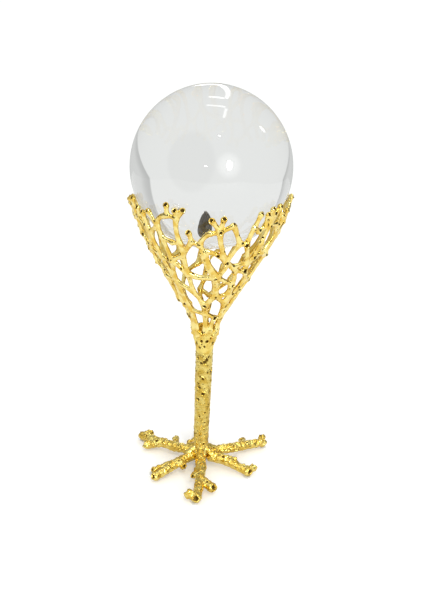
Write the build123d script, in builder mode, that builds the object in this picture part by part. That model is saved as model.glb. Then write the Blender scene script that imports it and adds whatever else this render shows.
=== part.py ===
"""Crystal ball on a cast coral-branch stand.

Millimetres, +Z up. The origin is on the table under the middle of the stem, and one long foot points
along -Y, which is the front. A point on the basket is given as a turn round the stem and a height:
0 degrees is the front, and the turn grows towards +X.
"""

import os
from math import cos, radians, sin

from build123d import *

os.makedirs("parts", exist_ok=True)

# ---------------------------------------------------------------- driving dimensions
BALL_RADIUS = 50.0
BALL_HEIGHT = 205.0  # centre of the ball above the table

PAD_SEAT_TURN = -21.0  # the crown tip of each panel that carries a rest pad
REST_LATITUDE = -20.0  # where the pads touch the ball, seen from its centre
REST_GAP = 0.25
REST_PAD_RADIUS = 2.3
REST_PAD_THICKNESS = 1.5

STRUT = 1.3
NODE = 1.75
TIP = 1.95
PANEL_FOOT = 97.0  # height at which the basket panels stand on the root

STEM_RADIUS = 5.1
STEM_BOTTOM = 13.5
STEM_TOP = 85.0
ROD_RADIUS = 2.5
ROD_BOTTOM = 1.8
ROD_TOP = 95.0
ROD_CLEARANCE = 0.3

HUB_APOTHEM = 7.5
HUB_BOTTOM = 6.0
FOOT_HEIGHT = 9.75  # centre line of the sockets in the hub
SOCKET_RADIUS = 2.1
SOCKET_DEPTH = 3.0

WASHER_RADIUS = 5.0
WASHER_THICKNESS = 1.0
NUT_FLATS = 8.0
NUT_THICKNESS = 2.7

FOOT_PAD_RADIUS = 1.9
FOOT_PAD_THICKNESS = 1.0

# The middle of the basket wall: height above the table, distance from the stem's axis.
WALL = [
    (95, 7.0),
    (105, 8.9),
    (115, 13.1),
    (125, 19.6),
    (135, 25.0),
    (145, 31.1),
    (155, 36.7),
    (165, 42.0),
    (175, 46.0),
    (186, 49.8),
    (195, 52.0),
]

# One third of the coral lattice. Each branching point has a turn and a height.
POINTS = {
    # seams, where a panel meets the next one
    "seam_a_left": (-60, 177),
    "seam_b_left": (-60, 158),
    "seam_c_left": (-60, 139),
    "seam_d_left": (-60, 118),
    "seam_e_left": (-60, 101),
    "seam_a_right": (60, 177),
    "seam_b_right": (60, 158),
    "seam_c_right": (60, 139),
    "seam_d_right": (60, 118),
    "seam_e_right": (60, 101),
    # left crown
    "arch": (-27, 183),
    "shoulder": (-20, 182),
    "loop_top": (-38, 175),
    "loop_low": (-36, 168),
    "loop_mid": (-27, 166),
    "loop_end": (-20, 166),
    "edge_high": (-50, 169),
    "edge_mid": (-48, 154),
    "edge_low": (-43, 137),
    # middle crown
    "horn": (-10, 168),
    "saddle": (-4, 166),
    "bend": (4, 174),
    "middle": (11, 175),
    "corner": (20, 179),
    "corner_low": (28, 167),
    # right crown
    "branch": (34, 167),
    "rung_left": (42, 174),
    "rung_right": (52, 177),
    "ring": (50, 166),
    # middle rows
    "pit": (-20, 158),
    "cross": (20, 155),
    "trunk_high": (-1, 162),
    "trunk_low": (12, 144),
    "fork": (-19, 145),
    "knot": (-34, 153),
    "eye": (46, 147),
    "cup": (49, 156),
    "arm": (38, 137),
    # lower rows
    "stalk": (17, 129),
    "thorn": (-20, 132),
    "neck": (0, 121),
    "elbow": (44, 121),
    "knee": (-40, 116),
    "base_mid": (2, 100),
    "base_left": (-34, 97),
    "base_right": (40, 97),
}

# The free ends that stand up round the ball, each with the point that it grows from.
TIPS = {
    "arch": [(-28, 190)],
    "shoulder": [(PAD_SEAT_TURN, 187), (-14, 187)],
    "loop_top": [(-44, 184)],
    "edge_high": [(-53, 181)],
    "horn": [(-13, 174)],
    "middle": [(4, 182), (12, 183)],
    "rung_left": [(39, 185)],
    "rung_right": [(46, 184), (57, 188)],
}

# Which points a branch joins.
BRANCHES = [
    "seam_a_left edge_high",
    "seam_b_left edge_high",
    "seam_b_left edge_mid",
    "seam_c_left edge_low",
    "seam_d_left edge_low",
    "seam_d_left knee",
    "seam_e_left knee",
    "seam_a_right rung_right",
    "seam_b_right ring",
    "seam_b_right cup",
    "seam_c_right eye",
    "seam_c_right elbow",
    "seam_d_right elbow",
    "seam_e_right base_right",
    "edge_high loop_top",
    "edge_high edge_mid",
    "edge_mid knot",
    "edge_mid edge_low",
    "edge_low thorn",
    "edge_low knee",
    "arch shoulder",
    "arch loop_top",
    "loop_top loop_low",
    "loop_low loop_mid",
    "loop_low knot",
    "loop_mid loop_end",
    "shoulder loop_end",
    "loop_end pit",
    "pit knot",
    "pit horn",
    "pit fork",
    "knot fork",
    "knot edge_low",
    "horn saddle",
    "saddle bend",
    "saddle trunk_high",
    "bend middle",
    "middle corner",
    "middle cross",
    "corner corner_low",
    "corner_low cross",
    "corner_low branch",
    "branch rung_left",
    "branch eye",
    "rung_left rung_right",
    "rung_right ring",
    "ring cup",
    "cup eye",
    "trunk_high trunk_low",
    "trunk_high cross",
    "cross trunk_low",
    "cross eye",
    "cross arm",
    "fork trunk_low",
    "fork thorn",
    "trunk_low stalk",
    "trunk_low arm",
    "arm elbow",
    "arm stalk",
    "stalk neck",
    "stalk elbow",
    "thorn neck",
    "neck knee",
    "neck base_mid",
    "knee base_left",
    "knee base_mid",
    "elbow base_right",
    "stalk base_right",
]
STOUT = {"trunk_high trunk_low": 1.9, "trunk_low stalk": 1.6, "fork trunk_low": 1.5}

# Feet, drawn along their own centre line: distance from the stem, sideways, height, thickness.
LONG_FOOT = {
    "start": (HUB_APOTHEM, 0, FOOT_HEIGHT, 3.2),
    "bridge": (22, 0, 9.0, 3.0),
    "split": (32, 2, 7.2, 3.1),
    "toe": (51.2, 0, 3.2, 3.0),
    "left_toe": (39, 11, 4.4, 2.7),
    "right_toe": (45, -8, 4.2, 2.5),
    "bud": (25, -6, 7.5, 2.1),
}
LONG_FOOT_RUNS = ["start bridge", "bridge split", "split toe", "split left_toe", "split right_toe", "bridge bud"]
SHORT_FOOT = {
    "start": (HUB_APOTHEM, 0, FOOT_HEIGHT, 3.2),
    "bridge": (21, 1, 8.4, 3.1),
    "toe": (37, 2, 3.2, 3.0),
    "left_toe": (36, 11, 4.2, 2.5),
    "bud": (17, 7, 7.4, 2.3),
}
SHORT_FOOT_RUNS = ["start bridge", "bridge toe", "bridge left_toe", "bridge bud"]
FIRST_LONG_FOOT = -90.0
FIRST_SHORT_FOOT = -30.0
THIRD = 120.0

# The poles of the round joints lean away from every branch.
LATTICE_POLE = Vector(0.31, -0.77, 0.4)
FOOT_POLE = Vector(0.3, -0.2, 0.9)

STANDING = (Align.CENTER, Align.CENTER, Align.MIN)


# ---------------------------------------------------------------- shapes used more than once
def wall_radius(height):
    """How far the middle of the basket wall is from the stem's axis."""
    for (low, near), (high, far) in zip(WALL, WALL[1:]):
        if height <= high:
            return near + (far - near) * (height - low) / (high - low)
    return WALL[-1][1]


def on_wall(turn, height):
    """The point of the basket wall at a turn and a height."""
    reach = wall_radius(height)
    return Vector(reach * sin(radians(turn)), -reach * cos(radians(turn)), height)


def bar(start, end, start_radius, end_radius):
    """A round branch from one point to another, straight or tapered."""
    run = end - start
    if start_radius == end_radius:
        body = Cylinder(start_radius, run.length, align=STANDING, mode=Mode.PRIVATE)
    else:
        body = Cone(start_radius, end_radius, run.length, align=STANDING, mode=Mode.PRIVATE)
    return body.moved(Plane(origin=start, z_dir=run).location)


def knob(centre, radius, pole):
    """A round joint or end of a branch. Its pole points where no branch leaves."""
    return Sphere(radius, mode=Mode.PRIVATE).moved(Plane(origin=centre, z_dir=pole).location)


def rest_plane(distance):
    """A plane across the line from the ball's centre to a rest pad, looking outwards."""
    lean = radians(REST_LATITUDE)
    turn = radians(PAD_SEAT_TURN)
    outward = Vector(cos(lean) * sin(turn), -cos(lean) * cos(turn), sin(lean))
    return Plane(origin=Vector(0, 0, BALL_HEIGHT) + outward * distance, z_dir=outward)


def lattice():
    """Every branch, joint and cup end of one basket panel, still untrimmed."""
    pieces = []
    for name, place in POINTS.items():
        pieces.append(knob(on_wall(*place), NODE, LATTICE_POLE))
    for pair in BRANCHES:
        start, end = pair.split()
        radius = STOUT.get(pair, STRUT)
        pieces.append(bar(on_wall(*POINTS[start]), on_wall(*POINTS[end]), radius, radius))
    for root, ends in TIPS.items():
        for place in ends:
            pieces.append(bar(on_wall(*POINTS[root]), on_wall(*place), STRUT, STRUT))
            pieces.append(knob(on_wall(*place), TIP, LATTICE_POLE))
    return pieces


def branches(points, runs):
    """The arms and ends of one foot, along +X."""
    pieces = []
    for reach, side, height, radius in points.values():
        if reach > HUB_APOTHEM:
            pieces.append(knob(Vector(reach, side, height), radius, FOOT_POLE))
    for pair in runs:
        start, end = (points[name] for name in pair.split())
        pieces.append(bar(Vector(*start[:3]), Vector(*end[:3]), start[3] * 0.92, end[3] * 0.92))
    return pieces


def export_turned(shape, angle, name):
    """Write one of several equal pieces, turned to its place round the stem."""
    piece = shape.rotate(Axis.Z, angle)
    piece.label = name
    export_step(piece, f"parts/{name}.step")


# ---------------------------------------------------------------- the ball
with BuildPart() as crystal_ball:
    with Locations((0, 0, BALL_HEIGHT)):
        Sphere(BALL_RADIUS)
crystal_ball.part.label = "crystal_ball"
export_step(crystal_ball.part, "parts/crystal_ball.step")

# ---------------------------------------------------------------- basket: three castings, edge to edge
seat_distance = BALL_RADIUS + REST_GAP + REST_PAD_THICKNESS

with BuildPart() as basket_panel:
    add(lattice())
    # a third of the circle, standing on the root
    with BuildSketch(Plane.XY.offset(PANEL_FOOT)):
        with BuildLine():
            Polyline(
                (0, 0),
                (120 * sin(radians(60)), -120 * cos(radians(60))),
                (0, -140),
                (-120 * sin(radians(60)), -120 * cos(radians(60))),
                close=True,
            )
        make_face()
    extrude(amount=100, mode=Mode.INTERSECT)
    # boss for the rest pad, with its face cut square to the ball
    with BuildSketch(rest_plane(seat_distance)):
        Circle(REST_PAD_RADIUS + 0.3)
    extrude(amount=1.6)
    with BuildSketch(rest_plane(seat_distance)):
        Circle(REST_PAD_RADIUS + 0.6)
    extrude(amount=-4, mode=Mode.SUBTRACT)

for number in range(3):
    export_turned(basket_panel.part, THIRD * number, f"basket_panel_{number + 1}")

# ---------------------------------------------------------------- clear pads that the ball rests on
with BuildPart() as rest_pad:
    with BuildSketch(rest_plane(seat_distance)):
        Circle(REST_PAD_RADIUS)
    extrude(amount=-REST_PAD_THICKNESS)

for number in range(3):
    export_turned(rest_pad.part, THIRD * number, f"rest_pad_{number + 1}")

# ---------------------------------------------------------------- root: joins the basket to the stem
with BuildPart() as basket_root:
    with BuildSketch(Plane.XZ):
        with BuildLine():
            Polyline(
                (0, STEM_TOP),
                (5.6, STEM_TOP),
                (5.9, 90),
                (7.6, 94),
                (9.2, PANEL_FOOT),
                (0, PANEL_FOOT),
                close=True,
            )
        make_face()
    revolve(axis=Axis.Z)
    with BuildSketch(Plane.XY.offset(STEM_TOP)):
        Circle(ROD_RADIUS)
    extrude(amount=ROD_TOP - STEM_TOP, mode=Mode.SUBTRACT)
basket_root.part.label = "basket_root"
export_step(basket_root.part, "parts/basket_root.step")

# ---------------------------------------------------------------- stem: a cast tube round the tie rod
with BuildPart() as stem:
    with BuildSketch(Plane.XY.offset(STEM_BOTTOM)):
        Circle(STEM_RADIUS)
        Circle(ROD_RADIUS + ROD_CLEARANCE, mode=Mode.SUBTRACT)
    extrude(amount=STEM_TOP - STEM_BOTTOM)
stem.part.label = "stem"
export_step(stem.part, "parts/stem.step")

with BuildPart() as tie_rod:
    with BuildSketch(Plane.XY.offset(ROD_BOTTOM)):
        Circle(ROD_RADIUS)
    extrude(amount=ROD_TOP - ROD_BOTTOM)
tie_rod.part.label = "tie_rod"
export_step(tie_rod.part, "parts/tie_rod.step")

# ---------------------------------------------------------------- hub: one socket for each foot
with BuildPart() as hub:
    with BuildSketch(Plane.XY.offset(HUB_BOTTOM)):
        RegularPolygon(HUB_APOTHEM, 6, major_radius=False)
        Circle(ROD_RADIUS + ROD_CLEARANCE, mode=Mode.SUBTRACT)
    extrude(amount=STEM_BOTTOM - HUB_BOTTOM)
    for number in range(6):
        angle = radians(30 + 60 * number)
        outward = Vector(cos(angle), sin(angle), 0)
        mouth = Plane(origin=outward * HUB_APOTHEM + Vector(0, 0, FOOT_HEIGHT), z_dir=outward)
        with BuildSketch(mouth):
            Circle(SOCKET_RADIUS)
        extrude(amount=-SOCKET_DEPTH, mode=Mode.SUBTRACT)
hub.part.label = "hub"
export_step(hub.part, "parts/hub.step")

with BuildPart() as washer:
    with BuildSketch(Plane.XY.offset(HUB_BOTTOM - WASHER_THICKNESS)):
        Circle(WASHER_RADIUS)
        Circle(ROD_RADIUS + 0.15, mode=Mode.SUBTRACT)
    extrude(amount=WASHER_THICKNESS)
washer.part.label = "washer"
export_step(washer.part, "parts/washer.step")

with BuildPart() as nut:
    with BuildSketch(Plane.XY.offset(HUB_BOTTOM - WASHER_THICKNESS - NUT_THICKNESS)):
        RegularPolygon(NUT_FLATS / 2, 6, major_radius=False)
        Circle(ROD_RADIUS, mode=Mode.SUBTRACT)
    extrude(amount=NUT_THICKNESS)
nut.part.label = "nut"
export_step(nut.part, "parts/nut.step")

# ---------------------------------------------------------------- feet: three long, three short
for kind, points, runs, first in (
    ("long", LONG_FOOT, LONG_FOOT_RUNS, FIRST_LONG_FOOT),
    ("short", SHORT_FOOT, SHORT_FOOT_RUNS, FIRST_SHORT_FOOT),
):
    with BuildPart() as casting:
        add(branches(points, runs))
        # square shoulder against the hub, and a flat under the toe for its pad
        with Locations((HUB_APOTHEM, 0, FOOT_PAD_THICKNESS)):
            Box(100, 100, 100, align=(Align.MIN, Align.CENTER, Align.MIN), mode=Mode.INTERSECT)
        # spigot that is brazed into the hub
        with BuildSketch(Plane(origin=(HUB_APOTHEM, 0, FOOT_HEIGHT), z_dir=(-1, 0, 0))):
            Circle(SOCKET_RADIUS)
        extrude(amount=SOCKET_DEPTH)
    toe = points["toe"]
    with BuildPart() as sole:
        with BuildSketch(Plane.XY):
            with Locations((toe[0], toe[1])):
                Circle(FOOT_PAD_RADIUS)
        extrude(amount=FOOT_PAD_THICKNESS)
    for number in range(3):
        angle = first + THIRD * number
        export_turned(casting.part, angle, f"foot_{kind}_{number + 1}")
        export_turned(sole.part, angle, f"foot_pad_{kind}_{number + 1}")

print("solids in one panel:", len(basket_panel.part.solids()), "volume", round(basket_panel.part.volume))
print("whole stand height:", BALL_HEIGHT + BALL_RADIUS)
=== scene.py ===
# %% [markdown]
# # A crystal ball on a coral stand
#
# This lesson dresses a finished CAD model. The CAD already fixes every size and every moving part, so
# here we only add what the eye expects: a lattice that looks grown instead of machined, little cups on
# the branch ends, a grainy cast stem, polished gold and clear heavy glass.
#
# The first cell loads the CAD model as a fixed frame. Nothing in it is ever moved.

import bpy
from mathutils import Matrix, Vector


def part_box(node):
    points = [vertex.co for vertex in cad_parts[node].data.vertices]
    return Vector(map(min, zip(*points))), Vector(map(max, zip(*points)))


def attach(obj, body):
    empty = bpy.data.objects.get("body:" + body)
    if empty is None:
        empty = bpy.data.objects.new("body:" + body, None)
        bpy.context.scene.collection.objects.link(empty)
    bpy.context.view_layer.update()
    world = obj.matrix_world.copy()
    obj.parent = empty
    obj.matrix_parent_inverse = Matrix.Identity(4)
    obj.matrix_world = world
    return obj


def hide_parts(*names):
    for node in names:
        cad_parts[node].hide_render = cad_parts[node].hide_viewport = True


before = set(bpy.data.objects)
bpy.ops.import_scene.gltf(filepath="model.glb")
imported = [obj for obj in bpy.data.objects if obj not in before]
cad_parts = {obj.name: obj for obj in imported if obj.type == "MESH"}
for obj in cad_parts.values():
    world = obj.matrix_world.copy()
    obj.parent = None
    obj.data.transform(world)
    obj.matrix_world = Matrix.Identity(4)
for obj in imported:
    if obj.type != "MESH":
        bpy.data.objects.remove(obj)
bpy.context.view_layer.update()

# %% Tools for the whole lesson
import math
import random

import bmesh
import bpy
from mathutils import Matrix, Vector, kdtree, noise

MM = 0.001
dice = random.Random(7)
scene = bpy.context.scene
print("MM turns millimetres into Blender's metres:", MM)

# %% [markdown]
# ## The camera first
#
# We look down on the stand from about half a metre. The view is upright, so the sensor's 36 mm belong
# to its long side, and a 44 mm lens gives the mild perspective of a tabletop shot. The camera is rolled
# a little, which makes the stand lean at the top.

# %% Camera
SENSOR = 36.0
LENS = 44.124
camera_at = Vector((22.3, -453.9, 268.5)) * MM
turn_left = math.radians(2.35)
pitch_down = math.radians(18.15)
roll = math.radians(2.34)

camera_data = bpy.data.cameras.new("camera")
camera_data.sensor_width = SENSOR
camera_data.lens = LENS
camera_data.clip_start = 0.01
camera_data.clip_end = 20.0
camera = bpy.data.objects.new("camera", camera_data)
scene.collection.objects.link(camera)
aim = Matrix.Rotation(turn_left, 4, "Z") @ Matrix.Rotation(math.pi / 2 - pitch_down, 4, "X")
camera.matrix_world = Matrix.Translation(camera_at) @ aim @ Matrix.Rotation(roll, 4, "Z")
scene.camera = camera
print("lens", round(camera_data.lens, 1), "mm")

# %% [markdown]
# ## Small helpers
#
# Every organic piece here is made the same way: overlapping cones and balls are placed with bmesh
# operators, a voxel remesh melts them into one skin, and a smoothing pass rounds the joints. It is how
# one would build a wax model for casting: stick wax wires together, then warm the joints.

# %% Wax wires: placing cones and balls
def across_frame(start, end, outward):
    """A matrix whose Z runs along a branch and whose Y points out of the surface."""
    along = (end - start).normalized()
    side = outward.cross(along)
    if side.length < 1e-6:
        side = along.orthogonal()
    side.normalize()
    out = along.cross(side)
    turn = Matrix((side, out, along)).transposed().to_4x4()
    return Matrix.Translation((start + end) / 2) @ turn


def add_wire(bm, start, end, thick_start, thick_end, outward, flat=(1.0, 1.0), sides=12):
    """One straight stretch of wax wire. flat widens it sideways and thins it outwards."""
    place = across_frame(start, end, outward) @ Matrix.Diagonal((flat[0], flat[1], 1.0, 1.0))
    bmesh.ops.create_cone(
        bm,
        cap_ends=True,
        segments=sides,
        radius1=thick_start,
        radius2=thick_end,
        depth=(end - start).length,
        matrix=place,
    )


def add_ball(bm, centre, radius):
    """A wax ball that covers a joint."""
    bmesh.ops.create_icosphere(bm, subdivisions=2, radius=radius, matrix=Matrix.Translation(centre))


print("wax wires are cones, and wax balls cover their joints")

# %% Melting the wires into one skin
def melt(name, bm, voxel, smooth=6, lumps=0.0, lump_size=4.0):
    """Turns a bmesh of overlapping shapes into one smooth closed mesh."""
    rough = bpy.data.meshes.new(name + "_wires")
    bm.to_mesh(rough)
    bm.free()
    holder = bpy.data.objects.new(name + "_wires", rough)
    scene.collection.objects.link(holder)
    remesh = holder.modifiers.new("melt", "REMESH")
    remesh.mode = "VOXEL"
    remesh.voxel_size = voxel * MM
    soften = holder.modifiers.new("soften", "SMOOTH")
    soften.factor = 0.5
    soften.iterations = smooth
    graph = bpy.context.evaluated_depsgraph_get()
    skin = bpy.data.meshes.new_from_object(holder.evaluated_get(graph))
    bpy.data.objects.remove(holder)
    bpy.data.meshes.remove(rough)
    skin.name = name
    if lumps:
        push_lumps(skin, lumps, lump_size)
    return skin


def push_lumps(mesh, depth, size):
    """Moves each point along its normal by a slow noise, as a hand-finished wax has."""
    bm = bmesh.new()
    bm.from_mesh(mesh)
    bm.normal_update()
    for v in bm.verts:
        swell = noise.noise(v.co / (size * MM)) + 0.5 * noise.noise(v.co / (size * 0.4 * MM))
        v.co += v.normal * swell * depth * MM
    bm.to_mesh(mesh)
    bm.free()


print("melting: a voxel remesh, a smoothing pass and slow lumps")


# %% Finishing a piece
def finished(name, mesh, material, body, *nodes):
    """Links a mesh as a piece that rides on a body and stands for CAD nodes."""
    for face in mesh.polygons:
        face.use_smooth = True
    piece = bpy.data.objects.new(name, mesh)
    scene.collection.objects.link(piece)
    mesh.materials.clear()
    mesh.materials.append(material)
    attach(piece, body)
    if nodes:
        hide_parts(*nodes)
    print(f"{name}: {len(mesh.polygons)} faces")


def turned_copy(mesh, name, angle):
    """The same shape, turned round the stem in its mesh."""
    copy = mesh.copy()
    copy.name = name
    bm = bmesh.new()
    bm.from_mesh(copy)
    turn = Matrix.Rotation(math.radians(angle), 3, "Z")
    bmesh.ops.rotate(bm, verts=bm.verts, cent=(0, 0, 0), matrix=turn)
    bm.to_mesh(copy)
    bm.free()
    return copy


# %% [markdown]
# Coral is dotted with small round cups, the seats of its polyps. They could be cut with booleans, but
# that is slow on a dense skin and leaves sharp rims. Here the points near a cup are simply pushed in,
# and those round it are pulled out a little, which gives a soft raised lip.

# %% Pressing cups
# shares of a cup's radius: its depth, its lip's height and width, and how far out points are tried
CUP_DEPTH, CUP_LIP, LIP_WIDTH, CUP_REACH = 0.85, 0.28, 0.7, 1.9
# how much its rim wavers, and over what length in mm
CUP_WAVER, WAVER_SIZE = 0.45, 1.3


def press_cups(mesh, cups):
    """Presses small round cups into a skin, with a raised lip, and marks how deep each point lies.

    A cup is its centre, its outward axis and its radius. The marks go into the point attribute
    "painted_shade", from 0 on the open surface to 1 at the bottom of a cup, and the gold finishes
    paint shade into the cups from them.
    """
    points = kdtree.KDTree(len(mesh.vertices))
    for v in mesh.vertices:
        points.insert(v.co, v.index)
    points.balance()
    painted_shade = [0.0] * len(mesh.vertices)
    moves = {}
    for centre, axis, radius in cups:
        axis = axis.normalized()
        for place, index, _ in points.find_range(centre, radius * CUP_REACH):
            if mesh.vertices[index].normal.dot(axis) < 0.05:
                continue
            beside = (place - centre) - axis * (place - centre).dot(axis)
            away = beside.length / radius * (1.0 + CUP_WAVER * noise.noise(place / (WAVER_SIZE * MM)))
            if away < 1.0:
                depth = 1.0 - away ** 3
                moves[index] = -axis * radius * CUP_DEPTH * depth
                painted_shade[index] = max(painted_shade[index], min(1.0, 1.25 * depth))
            elif away < 1.0 + LIP_WIDTH:
                rise = math.sin(math.pi * (away - 1.0) / LIP_WIDTH)
                moves.setdefault(index, axis * radius * CUP_LIP * rise)
    for index, move in moves.items():
        mesh.vertices[index].co += move
    marks = mesh.attributes.new("painted_shade", "FLOAT", "POINT")
    marks.data.foreach_set("value", painted_shade)
    mesh.update()


def darken(mesh, places):
    """Paints shade on the inner side of the skin near some places, by marking it in "painted_shade"."""
    marks = mesh.attributes["painted_shade"].data
    for centre, radius in places:
        outward = Vector((centre.x, centre.y, 0)).normalized()
        for v in mesh.vertices:
            near = 1.0 - (v.co - centre).length / radius
            inside = 0.55 - v.normal.dot(outward)
            if near > 0 and inside > 0:
                marks[v.index].value = max(marks[v.index].value, min(1.0, near * 3.0, inside * 4.0))


print("a cup is", CUP_DEPTH, "of its radius deep")

# %% [markdown]
# ## Gold plate
#
# The stand is cast brass, plated with pale gold. Polished gold is a mirror: it is yellow only because
# it keeps back some of the blue, and it looks rich when bright and dark things stand around it. The
# tiny cups and pits are painted dark brown, as painted shade in the recesses. One node group makes the
# colour, the roughness and the height for every gold finish, so the polished lattice and the grainy
# stem stay one family. Its sockets are named, and each material gives them its own numbers.

# %% One group for all gold
def group_socket(group, name, direction, kind, value=None):
    """Adds one named socket to a node group."""
    socket = group.interface.new_socket(name=name, in_out=direction, socket_type=kind)
    if value is not None:
        socket.default_value = value
    return socket


gold_group = bpy.data.node_groups.new("coral_gold", "ShaderNodeTree")
for name, kind, value in (
    ("Place", "Vector", None),
    ("Painted Shade", "Float", 0.0),
    ("Grain Scale", "Float", 900.0),
    ("Pit Scale", "Float", 500.0),
    ("Pit Amount", "Float", 0.3),
    ("Smooth", "Float", 0.12),
    ("Light Gold", "Color", (0.95, 0.77, 0.29, 1)),
    ("Deep Gold", "Color", (0.80, 0.52, 0.11, 1)),
    # Shade and Bottom are painted shade: brown in cups and pits, nearly black at a cup's bottom
    ("Shade", "Color", (0.34, 0.20, 0.03, 1)),
    ("Bottom", "Color", (0.04, 0.025, 0.006, 1)),
):
    group_socket(gold_group, name, "INPUT", "NodeSocket" + kind, value)
for name, kind in (("Color", "Color"), ("Roughness", "Float"), ("Height", "Float")):
    group_socket(gold_group, name, "OUTPUT", "NodeSocket" + kind)
print("gold group:", len(gold_group.interface.items_tree), "sockets")

# %% [markdown]
# The next three helpers keep node trees readable. Each adds one node, gives it its numbers or wires,
# and hands back its output, so that a tree can be written like a sum.

# %% Helpers for node trees
def add_math(nodes, links, kind, a, b=None):
    """One Math node. Its inputs are numbers or the outputs of other nodes."""
    node = nodes.new("ShaderNodeMath")
    node.operation = kind
    for socket, value in zip(node.inputs, (a, b)):
        if value is None:
            continue
        if isinstance(value, (int, float)):
            socket.default_value = value
        else:
            links.new(value, socket)
    return node.outputs["Value"]


def add_step(nodes, links, value, low, high, out_low=0.0, out_high=1.0):
    """A soft step from one value to another."""
    node = nodes.new("ShaderNodeMapRange")
    node.interpolation_type = "SMOOTHSTEP"
    for name, number in (("From Min", low), ("From Max", high), ("To Min", out_low), ("To Max", out_high)):
        node.inputs[name].default_value = number
    links.new(value, node.inputs["Value"])
    return node.outputs["Result"]


def add_blend(nodes, links, share, low, high):
    """Mixes two colours, which are outputs or plain colours."""
    node = nodes.new("ShaderNodeMix")
    node.data_type = "RGBA"
    links.new(share, node.inputs["Factor"])
    for socket, value in ((node.inputs[6], low), (node.inputs[7], high)):
        if isinstance(value, tuple):
            socket.default_value = value
        else:
            links.new(value, socket)
    return node.outputs[2]


print("helpers: math, step and blend")

# %% [markdown]
# Slow clouds drift between light and deep gold. A fine noise is the grain, which roughens the metal
# unevenly and lifts it. A pit sits in the middle of some Voronoi cells. Pits and pressed cups share one
# painted shade, which first turns the gold brown, then nearly black at the bottom.

# %% Fill the gold group
def fill_gold_group():
    """Wires the group from its named inputs to its colour, roughness and height."""
    nodes, links = gold_group.nodes, gold_group.links
    given = nodes.new("NodeGroupInput").outputs
    result = nodes.new("NodeGroupOutput").inputs
    cloud = nodes.new("ShaderNodeTexNoise")
    cloud.inputs["Scale"].default_value = 210.0
    cloud.inputs["Detail"].default_value = 3.0
    links.new(given["Place"], cloud.inputs["Vector"])
    grain = nodes.new("ShaderNodeTexNoise")
    grain.inputs["Detail"].default_value = 5.0
    links.new(given["Place"], grain.inputs["Vector"])
    links.new(given["Grain Scale"], grain.inputs["Scale"])
    cells = nodes.new("ShaderNodeTexVoronoi")
    links.new(given["Place"], cells.inputs["Vector"])
    links.new(given["Pit Scale"], cells.inputs["Scale"])
    # only the cells whose random colour has little red get a pit
    split = nodes.new("ShaderNodeSeparateColor")
    links.new(cells.outputs["Color"], split.inputs["Color"])
    chosen = add_math(nodes, links, "LESS_THAN", split.outputs["Red"], given["Pit Amount"])
    round_spot = add_step(nodes, links, cells.outputs["Distance"], 0.38, 0.16)
    pit = add_math(nodes, links, "MULTIPLY", round_spot, chosen)
    # painted shade: pits and the marked cups and prongs turn brown, then nearly black
    dark = add_math(nodes, links, "MAXIMUM", pit, given["Painted Shade"])
    tone = add_step(nodes, links, cloud.outputs["Fac"], 0.38, 0.62)
    body = add_blend(nodes, links, tone, given["Deep Gold"], given["Light Gold"])
    rim = add_step(nodes, links, dark, 0.05, 0.5)
    brown = add_blend(nodes, links, rim, body, given["Shade"])
    bottom = add_step(nodes, links, dark, 0.45, 0.95)
    links.new(add_blend(nodes, links, bottom, brown, given["Bottom"]), result["Color"])
    uneven = add_step(nodes, links, grain.outputs["Fac"], 0.3, 0.75, 0.6, 1.5)
    rough = add_math(nodes, links, "MULTIPLY", given["Smooth"], uneven)
    unbuffed = add_math(nodes, links, "MULTIPLY", dark, 0.25)
    links.new(add_math(nodes, links, "ADD", rough, unbuffed), result["Roughness"])
    sunk = add_math(nodes, links, "MULTIPLY", pit, 1.2)
    links.new(add_math(nodes, links, "SUBTRACT", grain.outputs["Fac"], sunk), result["Height"])
    print("gold group:", len(nodes), "nodes")


fill_gold_group()

# %% [markdown]
# ## The finishes that use it
#
# Texture Coordinate gives each point's place in the object, so the grain stays put when a piece moves.
# The attribute "painted_shade" is marked while the cups are pressed, and says where shade is painted.
# Both go into the group from outside, and the metal shader stays in the material, where an exporter can
# read it. The lattice is polished bright, the root, hub and feet are left grainier, and the stem has
# the roughest skin, like bark.

# %% Gold finishes
def node_tree(material):
    """A fresh material tree: its nodes, its links and its shader."""
    material.use_nodes = True
    nodes, links = material.node_tree.nodes, material.node_tree.links
    return nodes, links, nodes["Principled BSDF"]


def gold_finish(name, relief, **values):
    """A gold material. values fill the group's sockets, and relief is the grain's height in mm."""
    material = bpy.data.materials.new(name)
    nodes, links, shader = node_tree(material)
    shader.inputs["Metallic"].default_value = 1.0
    where = nodes.new("ShaderNodeTexCoord")
    # the marks where shade is painted into cups and onto prongs
    marks = nodes.new("ShaderNodeAttribute")
    marks.attribute_name = "painted_shade"
    plate = nodes.new("ShaderNodeGroup")
    plate.node_tree = gold_group
    links.new(where.outputs["Object"], plate.inputs["Place"])
    links.new(marks.outputs["Fac"], plate.inputs["Painted Shade"])
    for socket, value in values.items():
        plate.inputs[socket.replace("_", " ")].default_value = value
    links.new(plate.outputs["Color"], shader.inputs["Base Color"])
    links.new(plate.outputs["Roughness"], shader.inputs["Roughness"])
    bump = nodes.new("ShaderNodeBump")
    bump.inputs["Strength"].default_value = 0.6
    bump.inputs["Distance"].default_value = relief * MM
    links.new(plate.outputs["Height"], bump.inputs["Height"])
    links.new(bump.outputs["Normal"], shader.inputs["Normal"])
    return material


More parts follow.
